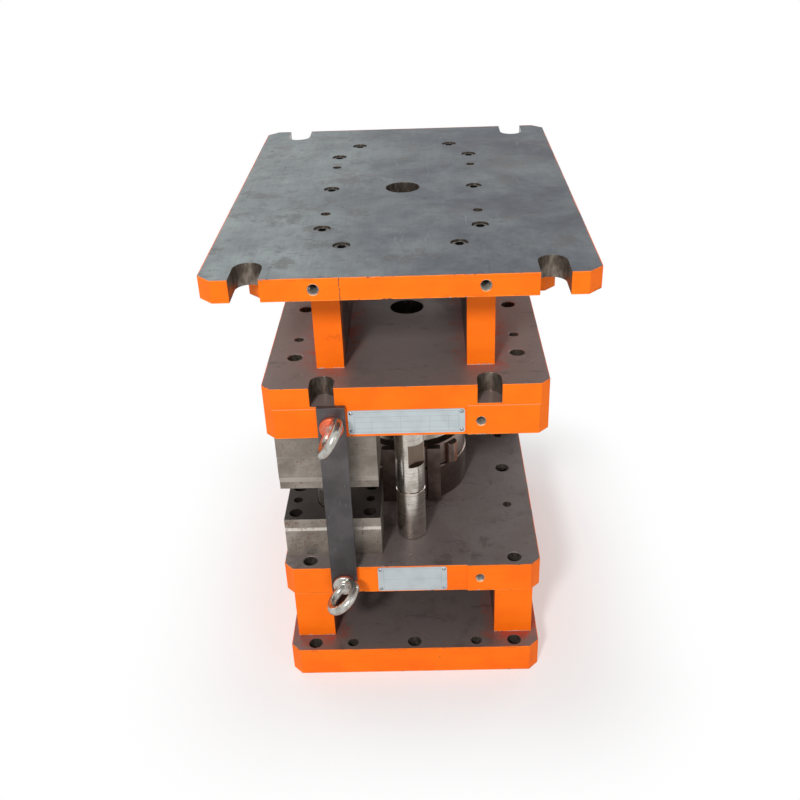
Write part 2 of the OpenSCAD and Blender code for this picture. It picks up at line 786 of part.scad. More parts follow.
module support_plate() {
    color(orange) translate([0, 0, z_support]) difference() {
        plate(upper_shoe_w, shoe_l, support_t, shoe_chamfer);
        hole(rod_room_d, support_t);
        spacer_pattern() {
            hole(top_screw_d + hole_play, support_t);
            hole(dowel_hole_d, support_t);
        }
        four(corner_screw_x, corner_screw_y) translate([0, 0, support_t])
            tapped(top_screw_d + slack, screw_hole);
    }
}

module clamp_plate() {
    color(orange) translate([0, 0, z_top]) difference() {
        plate(top_w, top_l, top_t, top_chamfer);
        hole(centre_hole_d, top_t);
        for (turn = [0, 180])
            rotate([0, 0, turn]) pair(slot_x, -top_l / 2) translate([0, 0, -eps])
                open_slot(slot_w, slot_l, top_t + 2 * eps);
        spacer_pattern() {
            head_hole(top_screw_d, top_t, top_seat);
            hole(dowel_hole_d, top_t);
        }
        four(corner_screw_x, corner_screw_y) head_hole(top_screw_d, top_t, top_seat);
        for (turn = [0, 180])
            rotate([0, 0, turn]) pair(strap_x) on_front(0, top_t / 2, -top_l / 2)
                tapped(tap_d, eye_hole_l);
    }
}

module clamp_plate_screws() {
    seat = z_end - top_seat;
    color(black) {
        for (y = top_screw_y)
            pair(upper_spacer_x, y) translate([0, 0, seat])
                cap_screw(top_screw_d, seat - z_support + thread_depth);
        four(corner_screw_x, corner_screw_y) translate([0, 0, seat])
            cap_screw(top_screw_d, seat - z_top + thread_depth);
    }
}

module upper_dowels() {
    color(bright) four(upper_spacer_x, top_dowel_y) translate([0, 0, z_support - thread_depth + thread_spare])
        cylinder(d = dowel_d, h = thread_depth - thread_spare + support_t + top_t - top_dowel_low);
}

module upper_spacer_screws() {
    color(black) for (y = spacer_screw_y)
        pair(upper_spacer_x, y) translate([0, 0, z_upper_face + spacer_seat]) rotate([180, 0, 0])
            cap_screw(screw_d, upper_shoe_t - spacer_seat + thread_depth);
}

// Levels of the upper guide unit, measured down from the face of the upper shoe
z_packing = z_upper_face - packing_h;
z_bush_block = z_packing - bush_block_h;
z_bush_keeper = z_bush_block - bush_keeper_t;

module packing_block(back) {
    color(pale) guide_place(back) translate([0, 0, z_packing]) difference() {
        plain_block(packing_h);
        hole(bush_clear_d, packing_h);
        four(guide_screw_x, guide_screw_y) hole(screw_d + hole_play, packing_h);
    }
}

module bush_block(back) {
    color(pale) guide_place(back) translate([0, 0, z_bush_block]) difference() {
        translate([0, 0, bush_block_h]) rotate([180, 0, 0]) bevelled_block(bush_block_h, bush_bevel);
        hole(bush_d + fit_play, bush_block_h);
        four(guide_screw_x, guide_screw_y) translate([0, 0, bush_block_h]) rotate([180, 0, 0])
            head_hole(screw_d, bush_block_h, bush_seat - bush_keeper_t);
    }
}

module guide_bush(back) {
    color(bronze) guide_place(back) translate([0, 0, z_bush_block]) difference() {
        cylinder(d = bush_d, h = bush_block_h);
        hole(post_d + 2 * post_play, bush_block_h);
    }
}

module bush_keeper(back) {
    color(pale) guide_place(back) translate([0, 0, z_bush_keeper]) difference() {
        plain_block(bush_keeper_t, block_relief);
        hole(post_d + 2, bush_keeper_t);
        four(guide_screw_x, guide_screw_y) hole(1.5 * screw_d + head_play, bush_keeper_t);
    }
}

module bush_block_screws() {
    color(black) for (back = [false, true])
        guide_place(back) four(guide_screw_x, guide_screw_y)
            translate([0, 0, z_bush_keeper + bush_seat]) rotate([180, 0, 0])
                cap_screw(screw_d, z_upper_face - z_bush_keeper - bush_seat + thread_depth);
}

// The holder of the draw die: a turned body with a flange against the upper shoe
module die_holder() {
    z0 = z_die_top;
    color(ground) difference() {
        rotate_extrude($fn = 128) polygon([
            [rod_hole_d / 2, z_upper_face], [rod_hole_d / 2, z_pad_roof], [pad_pocket_d / 2, z_pad_roof],
            [pad_pocket_d / 2, z0], [die_d / 2, z0], [die_d / 2, z_upper_face - flange_t],
            [flange_d / 2, z_upper_face - flange_t], [flange_d / 2, z_upper_face]]);
        ring_of(flange_screw_pcr, pin_turns) translate([0, 0, z_upper_face]) rotate([180, 0, 0])
            head_hole(screw_d, flange_t, flange_seat);
        ring_of(ring_screw_pcr, cross_turns) translate([0, 0, z0])
            head_hole(screw_d, z_upper_face - z0, die_screw_seat);
    }
}

// The draw die is a turned ring: a rounded mouth, the bore and a step for the knock-out pad
module draw_die() {
    r = die_bore / 2;
    mouth = [for (a = [0 : 15 : 90]) [r + die_r - die_r * sin(a), z_die + die_r - die_r * cos(a)]];
    color(bright) difference() {
        rotate_extrude($fn = 128) polygon(concat(mouth, [
            [r, z_die_step], [pad_pocket_d / 2, z_die_step], [pad_pocket_d / 2, z_die_top],
            [die_d / 2, z_die_top], [die_d / 2, z_die + ring_chamfer], [die_d / 2 - ring_chamfer, z_die]]));
        ring_of(ring_screw_pcr, cross_turns) translate([0, 0, z_die_top])
            tapped(screw_d + slack, screw_hole);
    }
}

module die_holder_screws() {
    color(black) ring_of(flange_screw_pcr, pin_turns)
        translate([0, 0, z_upper_face - flange_t + flange_seat]) rotate([180, 0, 0])
            cap_screw(screw_d, flange_t - flange_seat + thread_depth);
}

module draw_die_screws() {
    color(black) ring_of(ring_screw_pcr, cross_turns) translate([0, 0, z_upper_face - die_screw_seat])
        cap_screw(screw_d, z_upper_face - die_screw_seat - z_die_top + thread_depth);
}

// The strap holds the halves together; its lower end is forked, so it lifts off the lower bolt
module transport_strap() {
    z0 = eye_low - strap_end;
    z1 = eye_high + strap_head;
    hole_d = eye_d + hole_play;
    color(dark) translate([-strap_x, front, 0]) difference() {
        translate([-strap_w / 2, -strap_t, z0]) cube([strap_w, strap_t, z1 - z0]);
        translate([0, eps, eye_high]) rotate([90, 0, 0]) cylinder(d = hole_d, h = strap_t + 2 * eps);
        translate([0, eps, eye_low]) rotate([90, 0, 0]) cylinder(d = hole_d, h = strap_t + 2 * eps);
        translate([-hole_d / 2, -strap_t - eps, z0 - eps])
            cube([hole_d, strap_t + 2 * eps, strap_end + eps]);
    }
}

module upper_nameplate() {
    color(bright) translate([0, recess_y, z_upper_face + pad_h / 2]) name_sheet(upper_name_w, upper_name_h);
}

module upper_nameplate_rivets() {
    color(bright) translate([0, recess_y, z_upper_face + pad_h / 2]) rivets(upper_name_w, upper_name_h);
}

// The pad pushes the drawn cup out of the die; its flange stops on the step of the draw die
module knock_out_pad() {
    color(ground) rotate_extrude($fn = 96) polygon([
        [0, z_pad], [pad_d / 2 - pad_chamfer, z_pad], [pad_d / 2, z_pad + pad_chamfer], [pad_d / 2, z_pad_flange],
        [pad_flange_d / 2, z_pad_flange], [pad_flange_d / 2, z_pad_top], [0, z_pad_top]]);
}

module knock_out_rod() {
    color(bright) translate([0, 0, z_pad_top]) cylinder(d = rod_d, h = z_rod_top - z_pad_top);
}

bottom_plate();
lower_spacer(-1);  // lower_spacer_left
lower_spacer(1);  // lower_spacer_right
lower_shoe();
lower_nameplate();
lower_nameplate_rivets();
lower_frame_screws();
lower_dowels();
guide_block(false);  // guide_block_front
guide_block(true);  // guide_block_back
post_keeper(false);  // post_keeper_front
post_keeper(true);  // post_keeper_back
guide_post(false);  // guide_post_front
guide_post(true);  // guide_post_back
guide_block_screws();
guide_block_dowels();
lower_stop_post(false);  // lower_stop_post_front
lower_stop_post(true);  // lower_stop_post_back
punch_base();
draw_punch();
punch_base_screws();
punch_screws();
lower_eye_bolt();
blank_holder_ring();
guide_strips();
cushion_pins();
cushion_plate();
upper_shoe();
upper_spacer(-1);  // upper_spacer_left
upper_spacer(1);  // upper_spacer_right
support_plate();
clamp_plate();
clamp_plate_screws();
upper_dowels();
upper_spacer_screws();
packing_block(false);  // packing_block_front
packing_block(true);  // packing_block_back
bush_block(false);  // bush_block_front
bush_block(true);  // bush_block_back
bush_keeper(false);  // bush_keeper_front
bush_keeper(true);  // bush_keeper_back
guide_bush(false);  // guide_bush_front
guide_bush(true);  // guide_bush_back
bush_block_screws();
upper_stop_post(false);  // upper_stop_post_front
upper_stop_post(true);  // upper_stop_post_back
die_holder();
draw_die();
die_holder_screws();
draw_die_screws();
transport_strap();
upper_eye_bolt();
upper_nameplate();
upper_nameplate_rivets();
knock_out_pad();
knock_out_rod();
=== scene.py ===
# %% [markdown]
# A drawing die is a press tool: heavy plates kept apart by spacers, an upper half that
# slides on guide posts, and a round punch and die in the middle. The parts that move and
# fit come ready made from the CAD model. This lesson gives them their finishes (paint,
# ground steel, turned steel, mill scale) and adds small forms such as threads and forged
# eye bolts. Everything is in metres, with the front of the die towards -Y.

# %% Load the frame
import bpy
import math
import numpy as np
from mathutils import Euler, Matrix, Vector


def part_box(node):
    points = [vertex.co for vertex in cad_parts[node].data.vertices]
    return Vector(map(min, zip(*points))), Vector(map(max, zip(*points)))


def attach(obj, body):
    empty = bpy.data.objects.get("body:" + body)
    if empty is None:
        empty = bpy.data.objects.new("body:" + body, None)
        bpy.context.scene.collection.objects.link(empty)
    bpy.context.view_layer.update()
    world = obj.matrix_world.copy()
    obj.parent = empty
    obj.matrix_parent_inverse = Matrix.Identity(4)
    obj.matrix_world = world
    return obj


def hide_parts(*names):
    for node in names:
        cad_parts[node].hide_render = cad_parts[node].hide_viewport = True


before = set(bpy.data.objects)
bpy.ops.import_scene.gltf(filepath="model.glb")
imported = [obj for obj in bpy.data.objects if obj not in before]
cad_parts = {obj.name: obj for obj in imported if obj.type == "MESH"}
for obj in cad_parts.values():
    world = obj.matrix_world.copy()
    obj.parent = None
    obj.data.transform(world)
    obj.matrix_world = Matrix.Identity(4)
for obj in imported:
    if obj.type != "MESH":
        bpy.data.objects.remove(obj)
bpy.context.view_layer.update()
MM = 0.001

# %% [markdown]
# The camera stands where the photographer stood: a little right of the middle, well above
# the die and looking down. A long lens keeps the plates nearly parallel. The small shift
# is what remains of the photograph's framing.

# %% Camera
CAMERA_PLACE = (0.0339, -1.4360, 1.1727)
CAMERA_TURN = (60.283, 1.708, 0.223)
CAMERA_LENS = 43.364
CAMERA_SHIFT = (-0.0154, -0.0056)

camera = bpy.data.objects.new("camera", bpy.data.cameras.new("camera"))
bpy.context.collection.objects.link(camera)
camera.location = CAMERA_PLACE
camera.rotation_euler = Euler([math.radians(a) for a in CAMERA_TURN])
camera.data.sensor_width = 36
camera.data.lens = CAMERA_LENS
camera.data.shift_x, camera.data.shift_y = CAMERA_SHIFT
camera.data.clip_end = 60
bpy.context.scene.camera = camera

# %% [markdown]
# A shader is easier to read when each node is one short call. This class lays down nodes,
# wires a socket if it is given one and sets a plain value otherwise. All patterns read
# Object coordinates, so they stay on the metal when the die opens.


# %% A class for finishes
def tone(red, green, blue):
    """A colour as it reads on the screen, 0 to 255, turned into the linear values of a shader."""
    value = np.array([red, green, blue]) / 255
    linear = np.where(value <= 0.04045, value / 12.92, ((value + 0.055) / 1.055) ** 2.4)
    return (*linear.tolist(), 1.0)


class Finish:
    """A material under construction: every method adds one node and returns its output."""

    def __init__(self, name):
        self.material = bpy.data.materials.new(name)
        self.material.use_nodes = True
        self.tree = self.material.node_tree
        self.shader = self.tree.nodes["Principled BSDF"]
        coordinates = self.tree.nodes.new("ShaderNodeTexCoord")
        self.place = coordinates.outputs["Object"]
        self.x, self.y, self.z = self.split(self.place)
        self.normal_x, self.normal_y, self.normal_z = self.split(coordinates.outputs["Normal"])

    def wire(self, node, key, value):
        socket = node.inputs[key]
        if isinstance(value, bpy.types.NodeSocket):
            self.tree.links.new(value, socket)
        else:
            socket.default_value = value

    def split(self, vector):
        node = self.tree.nodes.new("ShaderNodeSeparateXYZ")
        self.wire(node, 0, vector)
        return node.outputs[0], node.outputs[1], node.outputs[2]

    def math(self, operation, *values):
        node = self.tree.nodes.new("ShaderNodeMath")
        node.operation = operation
        for place, value in enumerate(values):
            self.wire(node, place, value)
        return node.outputs[0]

    def most(self, *values):
        result = values[0]
        for value in values[1:]:
            result = self.math("MAXIMUM", result, value)
        return result

    def product(self, *values):
        result = values[0]
        for value in values[1:]:
            result = self.math("MULTIPLY", result, value)
        return result

    def plus(self, first, second):
        return self.math("ADD", first, second)

    def minus(self, first, second):
        return self.math("SUBTRACT", first, second)

    def least(self, first, second):
        return self.math("MINIMUM", first, second)

    def size(self, value):
        """The value without its sign."""
        return self.math("ABSOLUTE", value)

    def length(self, across, along):
        """Length of the vector that two values make."""
        return self.math("SQRT", self.plus(self.product(across, across), self.product(along, along)))

    def inverse(self, value):
        return self.minus(1.0, value)

    def band(self, value, low, high):
        """0 below low, 1 above high and a smooth ramp between; low may be the larger."""
        node = self.tree.nodes.new("ShaderNodeMapRange")
        node.interpolation_type = "SMOOTHSTEP"
        self.wire(node, "Value", value)
        reverse = low > high
        self.wire(node, "From Min", min(low, high))
        self.wire(node, "From Max", max(low, high))
        self.wire(node, "To Min", 1.0 if reverse else 0.0)
        self.wire(node, "To Max", 0.0 if reverse else 1.0)
        return node.outputs["Result"]

    def stretched(self, stretch, offset=0.0):
        node = self.tree.nodes.new("ShaderNodeMapping")
        self.wire(node, "Vector", self.place)
        self.wire(node, "Scale", stretch)
        self.wire(node, "Location", (offset, 0.37 * offset, 0.61 * offset))
        return node.outputs[0]

    def noise(self, size, detail=3.0, rough=0.55, stretch=(1, 1, 1), offset=0.0, swirl=0.0):
        """Soft noise whose lumps are about `size` metres across; `swirl` bends them into each other."""
        node = self.tree.nodes.new("ShaderNodeTexNoise")
        self.wire(node, "Distortion", swirl)
        self.wire(node, "Vector", self.stretched(stretch, offset))
        self.wire(node, "Scale", 1 / size)
        self.wire(node, "Detail", detail)
        self.wire(node, "Roughness", rough)
        return node.outputs["Fac"]

    def specks(self, spacing, radius, share=0.5, offset=0.0):
        """Round specks: one cell in `share` of a grid of cells `spacing` apart holds a dot."""
        node = self.tree.nodes.new("ShaderNodeTexVoronoi")
        self.wire(node, "Vector", self.stretched((1, 1, 1), offset))
        self.wire(node, "Scale", 1 / spacing)
        dots = self.band(node.outputs["Distance"], 1.25 * radius / spacing, 0.8 * radius / spacing)
        chosen = self.math("GREATER_THAN", self.split(node.outputs["Color"])[0], 1 - share)
        return self.product(dots, chosen)

    def mix(self, amount, first, second):
        node = self.tree.nodes.new("ShaderNodeMix")
        node.data_type = "RGBA"
        self.wire(node, "Factor", amount)
        self.wire(node, 6, first)
        self.wire(node, 7, second)
        return node.outputs[2]

    def blend_value(self, amount, first, second):
        node = self.tree.nodes.new("ShaderNodeMix")
        self.wire(node, "Factor", amount)
        self.wire(node, 2, first)
        self.wire(node, 3, second)
        return node.outputs[0]

    def soft_edges(self, radius):
        """Rounds the shading of sharp edges, as a file or a grinder leaves them."""
        node = self.tree.nodes.new("ShaderNodeBevel")
        node.samples = 4
        self.wire(node, "Radius", radius)
        return node.outputs[0]

    def bump(self, height, depth, normal=None):
        node = self.tree.nodes.new("ShaderNodeBump")
        self.wire(node, "Height", height)
        self.wire(node, "Distance", depth)
        if normal is not None:
            self.wire(node, "Normal", normal)
        return node.outputs[0]

    def dress(self, colour, rough, metal, normal=None, shine=0.5):
        self.wire(self.shader, "Base Color", colour)
        self.shader.inputs["Specular IOR Level"].default_value = shine
        self.wire(self.shader, "Roughness", rough)
        self.wire(self.shader, "Metallic", metal)
        if normal is not None:
            self.wire(self.shader, "Normal", normal)
        return self.material


# %% [markdown]
# The plates were painted on their sides only; their faces were ground flat afterwards and
# only oiled. A mask tells the two apart: a side wall has a level normal and lies on the
# outline of the plate. The walls of holes and slots don't lie there, so they stay bare.

# %% Ground steel, with its oil, pits and overspray
STEEL_LIGHT = tone(150, 158, 158)
STEEL_DARK = tone(80, 83, 90)
WARM_STEEL = tone(166, 148, 142)
# The dark of oil stains, also used as painted shade on faces that lie under other parts.
OIL_AND_SHADE = tone(64, 56, 52)
BARE_WALL = tone(138, 128, 118)
WALL_SHADE = tone(74, 64, 56)
PAINT = tone(255, 118, 12)
PAINT_DEEP = tone(240, 90, 6)
PAINT_EDGE_HIGHLIGHT = tone(255, 146, 62)
PAINT_LEDGE_HIGHLIGHT = tone(255, 205, 150)
PAINT_RED = tone(184, 74, 46)
CHIP_DARK = tone(74, 60, 54)
CHIP_PALE = tone(196, 186, 178)
GRIME = tone(176, 58, 14)
PAINT_SHINE = 0.15
FACE_METAL = 0.4
WALL_METAL = 0.7
WALL_ROUGH = 0.28


def ground_steel(finish, warm=0.0, along=(1, 0.02, 1), tone_slope=0.3, painted_shade=0.0):
    """Colour and roughness of a ground face; `warm` browns it, the last two shares paint shade: on its
    right and all over.
    """
    cloud = finish.band(finish.noise(0.12, 9, 0.68, swirl=0.25), 0.34, 0.66)
    # Painted shade: the face is darker towards its right side.
    painted_side_shade = finish.band(finish.x, -0.24, 0.08)
    shade = finish.plus(finish.product(cloud, 1 - tone_slope), finish.product(painted_side_shade, tone_slope))
    mottle = finish.band(finish.noise(0.03, 8, 0.75, (1, 0.8, 1), 7.7), 0.47, 0.7)
    streak = finish.noise(0.0022, 2, 0.5, along)
    smudge = finish.band(finish.noise(0.06, 10, 0.8, offset=3.1), 0.54, 0.585)
    stain = finish.product(finish.band(finish.noise(0.02, 8, 0.8, offset=8.4), 0.59, 0.63), 0.8)
    colour = finish.mix(shade, STEEL_LIGHT, STEEL_DARK)
    colour = finish.mix(finish.product(mottle, 0.4), colour, STEEL_DARK)
    colour = finish.mix(finish.product(finish.band(streak, 0.3, 0.75), 0.14), colour, STEEL_DARK)
    colour = finish.mix(warm, colour, WARM_STEEL)
    drag = finish.band(finish.noise(0.02, 6, 0.75, (0.3, 1, 1), 6.6), 0.58, 0.66)
    colour = finish.mix(finish.product(drag, 0.4), colour, STEEL_DARK)
    rub = finish.band(finish.noise(0.009, 3, 0.6, (1, 0.1, 1), 2.9), 0.66, 0.72)
    colour = finish.mix(finish.product(rub, 0.2), colour, STEEL_LIGHT)
    colour = finish.mix(finish.product(finish.most(smudge, stain), 0.5 - 0.4 * warm), colour, OIL_AND_SHADE)
    # Painted shade: the whole face is darkened by the last share.
    colour = finish.mix(painted_shade, colour, OIL_AND_SHADE)
    pits = finish.specks(0.012, 0.0007, 0.35, 1.7)
    colour = finish.mix(finish.product(pits, 0.8), colour, CHIP_DARK)
    red = finish.specks(0.05, 0.0012, 0.25, 5.2)
    colour = finish.mix(finish.product(red, 0.7), colour, PAINT_RED)
    rough = finish.blend_value(smudge, 0.5, 0.36)
    return colour, rough


# %% [markdown]
# The paint is a thick orange enamel. It is a little uneven, it is chipped along the edges
# where the plates were handled, and dust of it lies on the steel beside every painted
# wall. Chips come from noise that is pushed over a threshold close to an edge.


# %% Painted plates and spacers
def enamel(finish, edge, normal):
    """Orange enamel; `edge` is the distance in metres to the nearest long edge."""
    shade = finish.band(finish.noise(0.09, 3, 0.6, offset=2.2), 0.35, 0.75)
    lines = finish.band(finish.noise(0.012, 3, 0.6, (0.05, 0.05, 1)), 0.45, 0.75)
    colour = finish.mix(finish.product(shade, 0.45), PAINT, PAINT_DEEP)
    colour = finish.mix(finish.product(lines, 0.18), colour, PAINT_DEEP)
    grime = finish.band(finish.noise(0.05, 7, 0.72, offset=6.0), 0.62, 0.72)
    colour = finish.mix(finish.product(grime, 0.4), colour, GRIME)
    smears = finish.band(finish.noise(0.03, 6, 0.7, offset=8.8), 0.5, 0.62)
    seam = finish.product(finish.band(edge, 5 * MM, 0), smears)
    colour = finish.mix(finish.product(seam, 0.45), colour, GRIME)
    nearness = finish.band(edge, 3.2 * MM, 0.2 * MM)
    crumbs = finish.noise(0.0045, 4, 0.65, offset=6.3)
    large = finish.noise(0.03, 2, 0.5, offset=9.1)
    wear = finish.plus(finish.product(nearness, 0.22), finish.product(large, 0.4))
    chip = finish.band(finish.plus(wear, finish.product(crumbs, 0.6)), 0.79, 0.81)
    lone = finish.product(finish.specks(0.05, 0.0012, 0.25, 3.3), 0.8)
    pale = finish.band(finish.noise(0.02, 3, 0.6, offset=4.4), 0.45, 0.6)
    # Painted highlight: a lighter orange line along the top and bottom edges.
    crest = finish.product(finish.band(edge, 1.6 * MM, 0.3 * MM), 0.6)
    colour = finish.mix(crest, colour, PAINT_EDGE_HIGHLIGHT)
    bare = finish.mix(pale, CHIP_DARK, CHIP_PALE)
    colour = finish.mix(finish.most(chip, lone), colour, bare)
    rough = finish.blend_value(chip, 0.55, 0.65)
    skin = finish.plus(finish.noise(0.006, 2, 0.5), finish.product(chip, -1.6))
    return colour, rough, finish.bump(skin, 0.18 * MM, normal)


def edge_distance(finish, value, low, high):
    """How far a coordinate is from the nearer of its two limits."""
    return finish.least(finish.minus(value, low), finish.minus(high, value))


def off_block(finish, block):
    """Level distance to a rectangle (centre x, centre y, half x, half y), mirrored left and right."""
    mid_x, mid_y, half_x, half_y = block
    over_x = finish.size(finish.minus(finish.size(finish.x), mid_x))
    over_y = finish.size(finish.minus(finish.y, mid_y))
    out_x = finish.most(finish.minus(over_x, half_x), 0.0)
    out_y = finish.most(finish.minus(over_y, half_y), 0.0)
    return finish.length(out_x, out_y)


def near_block(finish, block, reach):
    """1 beside the rectangle of off_block, fading to 0 over `reach`."""
    return finish.band(off_block(finish, block), reach, 0.0)


def plate_finish(node, chamfer, rim, warm=0.0, feet=None, tone_slope=0.3, painted_shade=0.0, scribe=None):
    """Enamel on a plate's outline and ground steel on its faces; `rim` is the depth of its relief."""
    low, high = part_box(node)
    finish = Finish(node + "_finish")
    normal = finish.soft_edges(0.7 * MM)
    half_x, half_y = high[0], high[1]
    across, along = finish.size(finish.x), finish.size(finish.y)
    corner = finish.minus(finish.plus(across, along), half_x + half_y - chamfer)
    gap_x, gap_y = finish.minus(across, half_x), finish.minus(along, half_y)
    outline = finish.most(gap_x, gap_y, corner)
    on_rim = finish.math("GREATER_THAN", outline, -rim)
    upright = finish.band(finish.size(finish.normal_z), 0.6, 0.4)
    edge = edge_distance(finish, finish.z, low[2], high[2])
    ledge = finish.product(finish.band(edge, 0.5 * MM, 1.5 * MM), finish.inverse(upright))
    painted = finish.product(on_rim, finish.most(upright, ledge))
    paint, paint_rough, paint_normal = enamel(finish, edge, normal)
    # Painted highlight: the narrow level step of the relief is painted pale.
    paint = finish.mix(finish.product(ledge, 0.8), paint, PAINT_LEDGE_HIGHLIGHT)
    if scribe is not None:
        waver = finish.minus(finish.noise(0.012, 3, 0.6, offset=5.5), 0.5)
        from_line = finish.minus(finish.x, scribe)
        away = finish.size(finish.minus(from_line, finish.product(waver, 3 * MM)))
        crumbs = finish.band(finish.noise(0.003, 3, 0.7, offset=1.1), 0.4, 0.52)
        paint = finish.mix(finish.product(finish.band(away, 0.9 * MM, 0.4 * MM), crumbs), paint, CHIP_DARK)
    steel, steel_rough = ground_steel(finish, warm, tone_slope=tone_slope, painted_shade=painted_shade)
    patches = finish.band(finish.noise(0.01, 4, 0.7), 0.48, 0.66)
    dust = finish.product(finish.band(outline, -5 * MM, -0.5 * MM), patches, 0.5)
    if feet:
        patches = finish.band(finish.noise(0.035, 6, 0.72, offset=1.3), 0.48, 0.56)
        haze = finish.product(near_block(finish, feet, 34 * MM), patches)
        dust = finish.most(dust, haze, finish.product(near_block(finish, feet, 24 * MM), 0.35))
    face = finish.mix(finish.product(dust, 0.75), steel, PAINT_RED)
    runs = finish.band(finish.noise(0.04, 6, 0.7, offset=7.3), 0.4, 0.5)
    lip = finish.product(finish.band(outline, -1.6 * MM, -0.4 * MM), runs)
    face = finish.mix(finish.product(lip, 0.85), face, PAINT)
    marks = finish.band(finish.noise(0.004, 3, 0.5, (1, 1, 0.4)), 0.1, 0.9)
    wall = finish.mix(marks, BARE_WALL, WALL_SHADE)
    colour = finish.mix(painted, finish.mix(upright, face, wall), paint)
    rough = finish.blend_value(painted, finish.blend_value(upright, steel_rough, WALL_ROUGH), paint_rough)
    metal = finish.blend_value(painted, finish.blend_value(upright, FACE_METAL, WALL_METAL), 0.0)
    return finish.dress(colour, rough, metal, paint_normal, PAINT_SHINE)


def spacer_finish(node, side, overspray):
    """A spacer is painted outside and on its ends; its inner wall is bare under some overspray and darkened
    as painted shade.
    """
    low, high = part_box(node)
    finish = Finish(node + "_finish")
    normal = finish.soft_edges(0.6 * MM)
    outward = finish.band(finish.product(finish.normal_x, side), 0.4, 0.6)
    endward = finish.band(finish.size(finish.normal_y), 0.4, 0.6)
    edge = edge_distance(finish, finish.z, low[2], high[2])
    corner = edge_distance(finish, finish.y, low[1], high[1])
    paint, paint_rough, paint_normal = enamel(finish, edge, normal)
    # Painted shade: the bare inner wall between the spacers is darkened strongly.
    steel, steel_rough = ground_steel(finish, 0.6, (0.02, 1, 1), painted_shade=0.85)
    spray = finish.band(corner, 60 * MM, 2 * MM)
    patches = finish.most(finish.band(finish.noise(0.02, 4, 0.7), 0.32, 0.6), overspray)
    spray = finish.product(finish.most(spray, overspray), patches, 0.55 + 0.4 * overspray)
    painted = finish.most(outward, endward)
    foot = finish.band(finish.minus(finish.z, low[2]), 4 * MM, 0.5 * MM)
    crumbs = finish.noise(0.006, 5, 0.7, offset=1.9)
    scuff = finish.plus(finish.product(foot, 0.35), finish.product(crumbs, 0.65))
    scuff = finish.product(foot, finish.band(scuff, 0.66, 0.69))
    paint = finish.mix(finish.product(scuff, 0.9), paint, CHIP_PALE)
    colour = finish.mix(painted, finish.mix(spray, steel, PAINT), paint)
    rough = finish.blend_value(painted, steel_rough, paint_rough)
    metal = finish.blend_value(finish.most(painted, spray), 0.7, 0.0)
    return finish.dress(colour, rough, metal, paint_normal, PAINT_SHINE)


# %% [markdown]
# The guide blocks are pale ground steel with a few rust freckles, and a milled bevel along
# one edge that is painted brighter, a painted highlight. The bevel is found by its sloping
# normal. Their tops and the walls of their holes are painted nearly black, as painted
# shade; a wall of a hole is one that lies inside the outline.


# %% Guide blocks
BLOCK_LIGHT = tone(164, 156, 147)
BLOCK_DARK = tone(116, 107, 98)
RUST = tone(112, 66, 40)
BEVEL_HIGHLIGHT = tone(210, 206, 198)
BLOCK_TOP_SHADE = tone(44, 36, 33)


def block_finish(part, offset, dim=0.0):
    """Ground steel of a block; `dim` darkens all of it."""
    finish = Finish(part + "_steel")
    normal = finish.soft_edges(0.5 * MM)
    cloud = finish.band(finish.noise(0.06, 4, 0.6, offset=offset), 0.32, 0.7)
    streak = finish.noise(0.0016, 2, 0.5, (0.03, 0.03, 1), offset)
    colour = finish.mix(cloud, BLOCK_LIGHT, BLOCK_DARK)
    colour = finish.mix(finish.product(streak, 0.4), colour, BLOCK_DARK)
    patch = finish.band(finish.noise(0.04, 3, 0.6, offset=offset + 2), 0.42, 0.58)
    freckle = finish.band(finish.noise(0.0038, 3, 0.6, (1, 1, 0.7), offset + 4), 0.55, 0.64)
    lone = finish.specks(0.012, 0.0009, 0.3, offset + 1)
    rust = finish.most(finish.product(patch, freckle), finish.product(lone, 0.7))
    # Painted highlight: the sloping bevel is painted brighter.
    slope = finish.size(finish.normal_z)
    bevel = finish.product(finish.band(slope, 0.08, 0.2), finish.band(slope, 0.98, 0.9))
    colour = finish.mix(finish.product(bevel, 0.35), colour, BEVEL_HIGHLIGHT)
    colour = finish.mix(finish.product(rust, 0.6), colour, RUST)
    colour = finish.mix(dim, colour, BLOCK_DARK)
    # Painted shade: the top face and the walls of the holes are painted nearly black.
    top = finish.band(finish.normal_z, 0.9, 0.98)
    low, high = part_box(part + "_back")
    inside_x = edge_distance(finish, finish.size(finish.x), low[0], high[0])
    inside_y = edge_distance(finish, finish.size(finish.y), low[1], high[1])
    hollow = finish.band(finish.least(inside_x, inside_y), 3.5 * MM, 4.5 * MM)
    hollow = finish.product(hollow, finish.inverse(top))
    colour = finish.mix(finish.product(finish.most(top, hollow), 0.9), colour, BLOCK_TOP_SHADE)
    rough = finish.blend_value(bevel, 0.46, 0.3)
    return finish.dress(colour, rough, 0.7, finish.bump(streak, 0.02 * MM, normal))


# %% [markdown]
# Posts and the ring tools were turned on a lathe. Their surface keeps very fine rings, so
# highlights stretch along the axis. The rings are noise squeezed in Z.


# %% Turned and other bare steels
TURNED = tone(214, 208, 198)
TURNED_SHADE = tone(150, 140, 128)
TOOL_STEEL = tone(112, 97, 91)
TOOL_DARK = tone(72, 59, 53)
FLAT_DARK_REFLECTION = tone(112, 96, 84)


